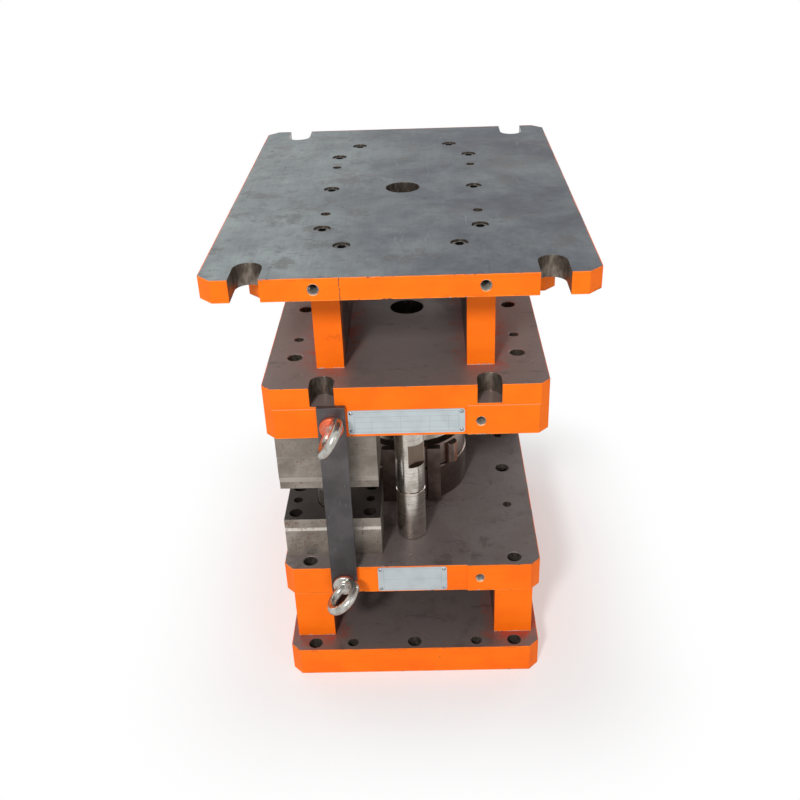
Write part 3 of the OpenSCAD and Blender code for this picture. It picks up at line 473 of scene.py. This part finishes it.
def turned_finish(name, light, shade, rough_low, rough_high, offset=0.0, flats=None):
    """Turned steel; `flats` gives the axis (y) and radius of a milled flat, darkened as a painted
    reflection.
    """
    finish = Finish(name)
    normal = finish.soft_edges(0.4 * MM)
    rings = finish.noise(0.0011, 2, 0.5, (0.02, 0.02, 1), offset)
    cloud = finish.band(finish.noise(0.03, 4, 0.6, offset=offset), 0.4, 0.72)
    pits = finish.specks(0.006, 0.0004, 0.3, offset)
    colour = finish.mix(finish.product(cloud, 0.7), light, shade)
    colour = finish.mix(finish.product(finish.band(rings, 0.4, 0.7), 0.45), colour, shade)
    scratches = finish.band(finish.noise(0.004, 3, 0.7, (1, 1, 0.08), offset + 6), 0.66, 0.72)
    colour = finish.mix(finish.product(scratches, 0.5), colour, CHIP_DARK)
    colour = finish.mix(finish.product(pits, 0.6), colour, CHIP_DARK)
    # Painted reflection: the milled flat is darker, as if it mirrored dark surroundings.
    if flats:
        from_axis = finish.minus(finish.size(finish.y), flats[0])
        reach = finish.length(finish.x, from_axis)
        colour = finish.mix(finish.math("LESS_THAN", reach, flats[1]), colour, FLAT_DARK_REFLECTION)
    rough = finish.blend_value(cloud, rough_low, rough_high)
    return finish.dress(colour, rough, 1.0, finish.bump(rings, 0.012 * MM, normal))


BRONZED = tone(196, 112, 64)
BRONZE_SHADE = tone(120, 70, 44)


def edged_finish(name, light, shade, ears=None):
    """Tool steel with a bronze-coloured tint on faces that point sideways: the sides of the strips, or the
    ears beyond a radius.
    """
    finish = Finish(name)
    normal = finish.soft_edges(0.4 * MM)
    cloud = finish.band(finish.noise(0.03, 4, 0.6, offset=3.3), 0.4, 0.72)
    colour = finish.mix(cloud, light, shade)
    side = finish.band(finish.size(finish.normal_x), 0.55, 0.85)
    if ears:
        reach = finish.length(finish.x, finish.y)
        side = finish.product(side, finish.band(reach, ears, ears + 2 * MM))
    tint = finish.mix(finish.band(finish.noise(0.008, 4, 0.7), 0.35, 0.7), BRONZED, BRONZE_SHADE)
    colour = finish.mix(finish.product(side, 0.85), colour, tint)
    return finish.dress(colour, finish.blend_value(cloud, 0.3, 0.44), 1.0, normal)


SCALE = tone(80, 76, 77)
SCALE_DEEP = tone(58, 55, 56)
SCALE_LIGHTER = tone(108, 102, 102)
SCRATCH_DARK = tone(46, 44, 45)
SCRATCH_PALE = tone(140, 138, 140)
LIGHTER_FROM = 0.3
LIGHTER_FULLY = 0.46


def scale_finish(name):
    """Hot-rolled bar: blue-grey mill scale with fine scratches, lighter towards the top."""
    finish = Finish(name)
    normal = finish.soft_edges(0.8 * MM)
    cloud = finish.band(finish.noise(0.07, 4, 0.6), 0.35, 0.7)
    lines = finish.band(finish.noise(0.0012, 2, 0.5, (1, 1, 0.02)), 0.62, 0.7)
    slants = finish.band(finish.noise(0.0016, 2, 0.5, (1, 1, 0.09), 4.0), 0.68, 0.73)
    colour = finish.mix(cloud, SCALE, SCALE_DEEP)
    # The bar is lighter towards the top.
    tone_slope = finish.band(finish.z, LIGHTER_FROM, LIGHTER_FULLY)
    colour = finish.mix(finish.product(tone_slope, 0.4), colour, SCALE_LIGHTER)
    colour = finish.mix(finish.product(lines, 0.35), colour, SCRATCH_DARK)
    colour = finish.mix(finish.product(slants, 0.35), colour, SCRATCH_PALE)
    rust = finish.band(finish.noise(0.015, 4, 0.7, offset=7.0), 0.66, 0.76)
    colour = finish.mix(finish.product(rust, 0.4), colour, RUST)
    rough = finish.blend_value(cloud, 0.36, 0.5)
    return finish.dress(colour, rough, 0.55, finish.bump(lines, 0.03 * MM, normal))


ZINC = tone(188, 186, 180)
ZINC_SHADE = tone(146, 142, 134)
SPRAY = tone(214, 80, 14)
ZINC_SHINE = 0.2


def zinc_finish(name, seat_y, reach):
    """Bright zinc of an eye bolt; orange paint was sprayed over its collar, up to `reach`."""
    finish = Finish(name)
    cloud = finish.band(finish.noise(0.012, 4, 0.6), 0.35, 0.7)
    colour = finish.mix(cloud, ZINC, ZINC_SHADE)
    depth = finish.minus(seat_y, finish.y)
    near = finish.band(depth, reach, 0.3 * reach)
    drops = finish.noise(0.012, 4, 0.65, offset=2.0)
    spray = finish.band(finish.plus(finish.product(near, 0.5), drops), 0.68, 1.0)
    colour = finish.mix(finish.product(spray, 0.85), colour, SPRAY)
    rough = finish.blend_value(spray, finish.blend_value(cloud, 0.22, 0.34), 0.42)
    metal = finish.blend_value(spray, 0.95, 0.4)
    dents = finish.bump(finish.noise(0.005, 3, 0.6), 0.02 * MM)
    return finish.dress(colour, rough, metal, dents, ZINC_SHINE)


def plain_metal(name, light, dark, rough, metal=1.0, size=0.01):
    """A small part of one metal with a faint cloud in its colour."""
    finish = Finish(name)
    cloud = finish.band(finish.noise(size, 3, 0.6), 0.35, 0.7)
    return finish.dress(finish.mix(cloud, light, dark), rough, metal, finish.soft_edges(0.3 * MM))


# %% [markdown]
# The nameplates are satin aluminium. Their writing is left off, so they carry only a thin
# engraved border and a few ruled lines, as a blank form has.


# %% Nameplates
SATIN = tone(184, 193, 196)
SATIN_SHADE = tone(158, 166, 170)
ENGRAVED = tone(104, 108, 112)
SIDE_MARGIN = 9 * MM
END_MARGIN = 3 * MM


def ruled_line(finish, value, at, half):
    """1 on a thin line where a coordinate equals `at`."""
    return finish.math("LESS_THAN", finish.size(finish.minus(value, at)), half)


def nameplate_finish(node, levels, columns):
    """Satin sheet with a border and with ruled lines at shares of its height and width."""
    low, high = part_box(node)
    finish = Finish(node + "_finish")
    inside_x = edge_distance(finish, finish.x, low[0] + SIDE_MARGIN, high[0] - SIDE_MARGIN)
    inside_z = edge_distance(finish, finish.z, low[2] + END_MARGIN, high[2] - END_MARGIN)
    inside = finish.least(inside_x, inside_z)
    lines = ruled_line(finish, inside, 0.0, 0.25 * MM)
    within = finish.math("GREATER_THAN", inside, 0.0)
    for share in levels:
        level = low[2] + share * (high[2] - low[2])
        lines = finish.most(lines, finish.product(within, ruled_line(finish, finish.z, level, 0.2 * MM)))
    top_level = low[2] + max(levels) * (high[2] - low[2])
    below = finish.math("LESS_THAN", finish.z, top_level)
    for share in columns:
        column = low[0] + share * (high[0] - low[0])
        line = finish.product(within, below, ruled_line(finish, finish.x, column, 0.2 * MM))
        lines = finish.most(lines, line)
    brushed = finish.noise(0.0012, 2, 0.5, (0.03, 1, 1))
    cloud = finish.band(finish.noise(0.03, 4, 0.6), 0.4, 0.75)
    colour = finish.mix(finish.product(cloud, 0.5), SATIN, SATIN_SHADE)
    colour = finish.mix(finish.product(lines, 0.5), colour, ENGRAVED)
    return finish.dress(colour, 0.42, 0.35, finish.bump(brushed, 0.015 * MM))


# %% [markdown]
# The finishes go onto the CAD pieces. Each piece keeps its mesh, and only its material
# slots change.


# %% Give every CAD piece its finish
def paint_node(node, material):
    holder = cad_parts[node]
    holder.data.materials.clear()
    holder.data.materials.append(material)


SHOE_CHAMFER = 15 * MM
CLAMP_CHAMFER = 18 * MM
RELIEF = 2.6 * MM
FLAT_RIM = 0.6 * MM


def foot_block(node):
    """Centre and half size of a spacer's foot, for the paint dust beside it."""
    low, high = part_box(node)
    centre_x, centre_y = (low[0] + high[0]) / 2, (low[1] + high[1]) / 2
    return centre_x, centre_y, (high[0] - low[0]) / 2, (high[1] - low[1]) / 2


lower_foot = foot_block("lower_spacer_right")
upper_foot = foot_block("upper_spacer_right")
paint_node("bottom_plate", plate_finish("bottom_plate", SHOE_CHAMFER, FLAT_RIM, 0.9, lower_foot, painted_shade=0.5))
paint_node("lower_shoe", plate_finish("lower_shoe", SHOE_CHAMFER, RELIEF, 0.6, painted_shade=0.4))
paint_node("upper_shoe", plate_finish("upper_shoe", SHOE_CHAMFER, RELIEF, 0.9, upper_foot, 0.6, 0.3))
paint_node("support_plate", plate_finish("support_plate", SHOE_CHAMFER, FLAT_RIM, 0.8))
SCRIBE_X = -73.5 * MM
paint_node("clamp_plate", plate_finish("clamp_plate", CLAMP_CHAMFER, FLAT_RIM, tone_slope=0.6, scribe=SCRIBE_X))
for half, overspray in (("lower", 0.0), ("upper", 0.1)):
    paint_node(half + "_spacer_left", spacer_finish(half + "_spacer_left", -1.0, overspray))
    paint_node(half + "_spacer_right", spacer_finish(half + "_spacer_right", 1.0, overspray))

BLOCK_KINDS = (("guide_block", 0.0, 0.0), ("post_keeper", 1.7, 0.0), ("packing_block", 3.4, 0.45),
               ("bush_block", 0.0, 0.0), ("bush_keeper", 1.7, 0.0))
for part, offset, dim in BLOCK_KINDS:
    block_steel = block_finish(part, offset, dim)
    paint_node(part + "_front", block_steel)
    paint_node(part + "_back", block_steel)

turned = turned_finish("turned_steel", TURNED, TURNED_SHADE, 0.2, 0.34)
WORN_LIGHT = tone(214, 208, 200)
WORN_SHADE = tone(140, 130, 120)
POST_AXIS_Y = 177 * MM
FLAT_REACH = 22.6 * MM
post_flats = (POST_AXIS_Y, FLAT_REACH)
worn_turned = turned_finish("worn_turned_steel", WORN_LIGHT, WORN_SHADE, 0.2, 0.32, 2.0, post_flats)
tool_steel = turned_finish("tool_steel", TOOL_STEEL, TOOL_DARK, 0.28, 0.42, 4.0)
for node in ("guide_post_front", "guide_post_back", "draw_punch", "cushion_pins", "draw_die",
             "knock_out_rod", "lower_dowels", "upper_dowels", "guide_block_dowels"):
    paint_node(node, turned)
for place in ("front", "back"):
    paint_node("lower_stop_post_" + place, worn_turned)
    paint_node("upper_stop_post_" + place, worn_turned)
for node in ("punch_base", "cushion_plate", "die_holder", "knock_out_pad"):
    paint_node(node, tool_steel)

HOLDER_RADIUS = 93 * MM
holder_steel = edged_finish("blank_holder_steel", tone(140, 124, 116), tone(98, 82, 74), HOLDER_RADIUS)
paint_node("blank_holder_ring", holder_steel)
paint_node("guide_strips", edged_finish("strip_steel", tone(118, 104, 98), tone(84, 70, 64)))

black = plain_metal("black_screw_steel", tone(58, 56, 56), tone(36, 34, 34), 0.45)
for node in ("lower_frame_screws", "guide_block_screws", "punch_base_screws", "punch_screws",
             "upper_spacer_screws", "bush_block_screws", "die_holder_screws", "draw_die_screws"):
    paint_node(node, black)
paint_node("clamp_plate_screws", plain_metal("worn_screw_steel", tone(92, 90, 88), tone(56, 54, 52), 0.3))

bronze = plain_metal("bush_bronze", tone(196, 152, 92), tone(150, 108, 60), 0.32)
for place in ("front", "back"):
    paint_node("guide_bush_" + place, bronze)

paint_node("transport_strap", scale_finish("mill_scale"))
UPPER_LEVELS = (0.25, 0.5, 0.72)
UPPER_COLUMNS = (0.2, 0.45, 0.7, 0.86)
paint_node("upper_nameplate", nameplate_finish("upper_nameplate", UPPER_LEVELS, UPPER_COLUMNS))
paint_node("lower_nameplate", nameplate_finish("lower_nameplate", (0.5,), ()))
rivet_metal = plain_metal("rivet_aluminium", tone(170, 174, 178), tone(104, 106, 110), 0.3, 1.0, 0.003)
paint_node("upper_nameplate_rivets", rivet_metal)
paint_node("lower_nameplate_rivets", rivet_metal)
print("finished nodes:", len(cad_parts))

# %% [markdown]
# New forms are surfaces worked out with numpy: a grid of points from two parameters, which
# becomes a mesh of quads. A closed grid is joined along its seam, so nothing leaks.


# %% A grid of points becomes a piece
def grid_faces(rows, columns, close_rows, close_columns):
    """Quads of a grid of rows x columns points, joined end to end where a side is closed."""
    down = np.arange(rows if close_rows else rows - 1)[:, None]
    over = np.arange(columns if close_columns else columns - 1)[None, :]
    beside = (over + 1) % columns
    here, past = down * columns, (down + 1) % rows * columns
    corners = [here + over, here + beside, past + beside, past + over]
    return np.stack([np.broadcast_to(c, (down.size, over.size)).ravel() for c in corners], axis=1)


def make_piece(name, points, faces, material, body):
    mesh = bpy.data.meshes.new(name)
    mesh.from_pydata(points.reshape(-1, 3).tolist(), [], faces.tolist())
    mesh.materials.append(material)
    mesh.shade_smooth()
    piece = bpy.data.objects.new(name, mesh)
    bpy.context.collection.objects.link(piece)
    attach(piece, body)
    return piece


# %% [markdown]
# The free holes are tapped. A thread is a tube whose inside radius rises and falls once
# per pitch and shifts with the angle, which makes the helix. The outside of the tube
# lies against the wall of the drilled hole.


# %% Threads in the free holes
THREAD_PITCH = 2 * MM
THREAD_DEPTH = 0.7 * MM
THREAD_STEPS = 8
THREAD_SIDES = 48
INNER_CLEARANCE = 0.05 * MM
OUTER_CLEARANCE = 0.02 * MM
MOUTH_SINK = 1.2 * MM
FREE_X = 106 * MM
FREE_RADIUS = 7 * MM
FREE_LENGTH = 24 * MM


def thread_points(radius, length):
    """Rows run up the helical inner wall and down the outer wall.

    The inner radius is the hole's radius less the depth times a saw of (height / pitch - turn).
    """
    steps = int(length / THREAD_PITCH * THREAD_STEPS)
    height = np.linspace(0, length, steps)[:, None]
    angle = np.linspace(0, 2 * np.pi, THREAD_SIDES, endpoint=False)[None, :]
    phase = height / THREAD_PITCH - angle / (2 * np.pi)
    saw = np.abs(2 * (phase - np.floor(phase)) - 1)
    inner = radius - THREAD_DEPTH * saw - INNER_CLEARANCE
    outer_height = np.array([length, 0])[:, None]
    outer = np.full((2, THREAD_SIDES), radius - OUTER_CLEARANCE)
    all_radius = np.concatenate([inner, outer])
    heights = [np.broadcast_to(height, inner.shape), np.broadcast_to(outer_height, outer.shape)]
    all_height = np.concatenate(heights)
    return np.stack([all_radius * np.cos(angle), all_radius * np.sin(angle), all_height], axis=-1)


def tapped_hole(name, mouth, inward, body):
    """A thread that starts just inside the mouth and runs inward along a unit vector."""
    points = thread_points(FREE_RADIUS, FREE_LENGTH)
    turn = Vector((0, 0, 1)).rotation_difference(Vector(inward)).to_matrix()
    points = points @ np.array(turn).T + np.array(mouth) + np.array(inward) * MOUTH_SINK
    faces = grid_faces(points.shape[0], points.shape[1], True, True)
    return make_piece(name, points, faces, thread_steel, body)


thread_steel = plain_metal("thread_steel", tone(206, 202, 196), tone(156, 150, 144), 0.28, 0.8, 0.004)
LOWER_EYE_DROP = 25 * MM
UPPER_EYE_RISE = 22 * MM
shoe_low, shoe_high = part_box("lower_shoe")
upper_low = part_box("upper_shoe")[0]
clamp_low, clamp_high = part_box("clamp_plate")
lower_eye_z = shoe_high[2] - LOWER_EYE_DROP
upper_eye_z = upper_low[2] + UPPER_EYE_RISE
clamp_mid_z = (clamp_low[2] + clamp_high[2]) / 2
tapped_hole("lower_free_thread", (FREE_X, shoe_low[1], lower_eye_z), (0, 1, 0), "lower_half")
tapped_hole("upper_free_thread", (FREE_X, upper_low[1], upper_eye_z), (0, 1, 0), "upper_half")
for side in (-1, 1):
    for end, y in (("front", clamp_low[1]), ("back", clamp_high[1])):
        name = "clamp_%s_thread_%s" % (end, "left" if side < 0 else "right")
        inward = (0, 1 if end == "front" else -1, 0)
        tapped_hole(name, (side * FREE_X, y, clamp_mid_z), inward, "upper_half")

# %% [markdown]
# The eye bolts are forgings: ring, neck and collar flow into each other. The simple shapes
# overlap first, a fine voxel remesh then makes one skin of them, and smoothing rounds the
# hollows between them. The thread under the collar is hidden in the strap and the shoe.

# %% Forged eye bolts
RING_BAR = 14 * MM
RING_IN = 35 * MM
EYE_HEIGHT = 62 * MM
COLLAR = 35 * MM
EYE_THREAD = 16 * MM
EYE_CORE = 0.01 * MM
EYE_VOXEL = 0.7 * MM
EYE_SMOOTHING = 5
RING_STEPS = 96
BAR_STEPS = 32


def turned_surface(profile, count=64):
    """Points of a profile of (radius, height) pairs turned about Z."""
    profile = np.array(profile)
    angle = np.linspace(0, 2 * np.pi, count, endpoint=False)
    radius, height = profile[:, :1], profile[:, 1:]
    x = radius * np.cos(angle)
    y = radius * np.sin(angle)
    return np.stack([x, y, np.broadcast_to(height, x.shape)], axis=-1)


def ring_surface(turn):
    """A torus around the middle of the eye, standing on the bolt's axis and turned about it."""
    round_ring, round_bar = np.meshgrid(np.linspace(0, 2 * np.pi, RING_STEPS, endpoint=False),
                                        np.linspace(0, 2 * np.pi, BAR_STEPS, endpoint=False), indexing="ij")
    middle = (RING_IN + RING_BAR) / 2
    reach = middle + RING_BAR / 2 * np.cos(round_bar)
    side = reach * np.cos(round_ring)
    up = reach * np.sin(round_ring) + EYE_HEIGHT - RING_IN / 2 - RING_BAR
    out = RING_BAR / 2 * np.sin(round_bar)
    x = side * math.cos(turn) - out * math.sin(turn)
    y = side * math.sin(turn) + out * math.cos(turn)
    return np.stack([x, y, up], axis=-1)


def remeshed(piece, voxel, rounds):
    """One skin over overlapping shapes, smoothed a few times."""
    remesh = piece.modifiers.new("skin", "REMESH")
    remesh.mode = "VOXEL"
    remesh.voxel_size = voxel
    remesh.use_smooth_shade = True
    smooth = piece.modifiers.new("soften", "SMOOTH")
    smooth.factor = 0.6
    smooth.iterations = rounds
    ready = piece.evaluated_get(bpy.context.evaluated_depsgraph_get())
    mesh = bpy.data.meshes.new_from_object(ready)
    piece.modifiers.clear()
    piece.data = mesh
    mesh.shade_smooth()
    return len(mesh.polygons)


def eye_bolt(name, node, seat, turn, body, spray):
    """An eye bolt whose collar sits at `seat` and whose axis points to the front, -Y."""
    rim = COLLAR / 2
    collar = turned_surface([(EYE_CORE, 0), (rim - 0.8 * MM, 0), (rim, 0.8 * MM), (rim, 5 * MM),
                             (rim - 1.5 * MM, 6.2 * MM), (11 * MM, 8 * MM), (9 * MM, 11.5 * MM),
                             (EYE_CORE, 12.6 * MM)])
    crest = EYE_THREAD / 2 - 0.1 * MM
    tip = EYE_THREAD / 2 - 1.2 * MM
    shank = turned_surface([(EYE_CORE, -27 * MM), (tip, -27 * MM), (crest, -25 * MM),
                            (crest, 2 * MM), (EYE_CORE, 2 * MM)])
    ring = ring_surface(turn)
    parts, faces, start = [], [], 0
    for shape, closed in ((collar, False), (shank, False), (ring, True)):
        rows, columns = shape.shape[:2]
        parts.append(shape.reshape(-1, 3))
        faces.append(grid_faces(rows, columns, closed, True) + start)
        start += rows * columns
    local = np.concatenate(parts)
    points = np.stack([local[:, 0], -local[:, 2], local[:, 1]], axis=1) + np.array(seat)
    zinc = zinc_finish(name + "_zinc", seat[1], spray)
    piece = make_piece(name, points, np.concatenate(faces), zinc, body)
    count = remeshed(piece, EYE_VOXEL, EYE_SMOOTHING)
    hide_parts(node)
    print(name, "faces:", count)


strap_low, strap_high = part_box("transport_strap")
EYE_SEAT_X = (strap_low[0] + strap_high[0]) / 2
UPPER_RING_TURN = math.radians(60)
LOWER_RING_TURN = math.radians(40)
UPPER_SPRAY = 26 * MM
LOWER_SPRAY = 7 * MM
upper_seat = (EYE_SEAT_X, strap_low[1], upper_eye_z)
lower_seat = (EYE_SEAT_X, strap_low[1], lower_eye_z)
eye_bolt("forged_upper_eye", "upper_eye_bolt", upper_seat, UPPER_RING_TURN, "upper_half", UPPER_SPRAY)
eye_bolt("forged_lower_eye", "lower_eye_bolt", lower_seat, LOWER_RING_TURN, "lower_half", LOWER_SPRAY)

# %% [markdown]
# A pale floor and soft lamps make a plain studio. A small lamp at the front left is the
# main light, two low lamps light the back, and the others fill the shade. The world is
# white for the camera and in reflections, and dimmer for the light that it casts, so that
# the colours of the paint render as they are written. Far from the die the floor is white
# in the same way. Beside the die most of its own shading stays, which is the die's shadow.

# %% Floor, lamps and world
FLOOR_SIZE = 14.0
FLOOR_Z = -0.5 * MM
FOOTPRINT = (0.0, 0.0, 0.2, 0.29)
SHADOW_START = 0.02
SHADOW_REACH = 0.3
SHADOW_WHITE = 0.4
LAMP_AIM = Vector((0, 0, 0.4))


def floor_paper():
    """Paper that is plain white far from the die, and mostly its own shaded self beside it."""
    finish = Finish("floor_paper")
    finish.dress(tone(250, 250, 250), 0.9, 0.0)
    fade = finish.band(off_block(finish, FOOTPRINT), SHADOW_START, SHADOW_REACH)
    whiteness = finish.blend_value(fade, SHADOW_WHITE, 1.0)
    ray = finish.tree.nodes.new("ShaderNodeLightPath").outputs
    seen = finish.most(ray["Is Camera Ray"], ray["Is Glossy Ray"], ray["Is Transmission Ray"])
    glow = finish.tree.nodes.new("ShaderNodeEmission")
    blend = finish.tree.nodes.new("ShaderNodeMixShader")
    finish.wire(blend, 0, finish.product(seen, whiteness))
    finish.wire(blend, 1, finish.shader.outputs[0])
    finish.wire(blend, 2, glow.outputs[0])
    output = finish.tree.nodes["Material Output"]
    finish.wire(output, "Surface", blend.outputs[0])
    return finish.material


def stage_floor():
    half = FLOOR_SIZE / 2
    mesh = bpy.data.meshes.new("floor")
    outline = ((-half, -half), (half, -half), (half, half), (-half, half))
    mesh.from_pydata([(x, y, FLOOR_Z) for x, y in outline], [], [(0, 1, 2, 3)])
    floor = bpy.data.objects.new("floor", mesh)
    bpy.context.collection.objects.link(floor)
    mesh.materials.append(floor_paper())


def soft_lamp(name, place, size, power):
    data = bpy.data.lights.new(name, "AREA")
    data.shape = "SQUARE"
    data.size = size
    data.energy = power
    lamp = bpy.data.objects.new(name, data)
    bpy.context.collection.objects.link(lamp)
    lamp.location = place
    aim = LAMP_AIM - Vector(place)
    lamp.rotation_euler = aim.to_track_quat("-Z", "Y").to_euler()


def studio_world(strength):
    """White to the camera and in reflections, and `strength` as the light that it casts."""
    world = bpy.data.worlds.new("studio")
    bpy.context.scene.world = world
    world.use_nodes = True
    tree = world.node_tree
    tree.nodes.clear()
    seen, cast = tree.nodes.new("ShaderNodeBackground"), tree.nodes.new("ShaderNodeBackground")
    seen.inputs["Color"].default_value = (1, 1, 1, 1)
    cast.inputs["Color"].default_value = (1, 1, 1, 1)
    cast.inputs["Strength"].default_value = strength
    path = tree.nodes.new("ShaderNodeLightPath")
    either = tree.nodes.new("ShaderNodeMath")
    either.operation = "MAXIMUM"
    tree.links.new(path.outputs["Is Camera Ray"], either.inputs[0])
    tree.links.new(path.outputs["Is Glossy Ray"], either.inputs[1])
    any_seen = tree.nodes.new("ShaderNodeMath")
    any_seen.operation = "MAXIMUM"
    tree.links.new(either.outputs[0], any_seen.inputs[0])
    tree.links.new(path.outputs["Is Transmission Ray"], any_seen.inputs[1])
    blend = tree.nodes.new("ShaderNodeMixShader")
    tree.links.new(any_seen.outputs[0], blend.inputs[0])
    tree.links.new(cast.outputs[0], blend.inputs[1])
    tree.links.new(seen.outputs[0], blend.inputs[2])
    output = tree.nodes.new("ShaderNodeOutputWorld")
    tree.links.new(blend.outputs[0], output.inputs[0])


stage_floor()
soft_lamp("key_lamp", (-0.8, -2.9, 2.3), 0.4, 74)
soft_lamp("fill_lamp", (2.0, -2.2, 1.2), 1.6, 8)
soft_lamp("top_lamp", (-0.3, 0.4, 2.8), 1.2, 11)
soft_lamp("back_left_lamp", (-2.2, 2.3, 0.9), 1.4, 20)
soft_lamp("back_right_lamp", (2.2, 2.3, 0.9), 1.4, 20)
studio_world(0.3)
bpy.context.scene.view_settings.view_transform = "Standard"
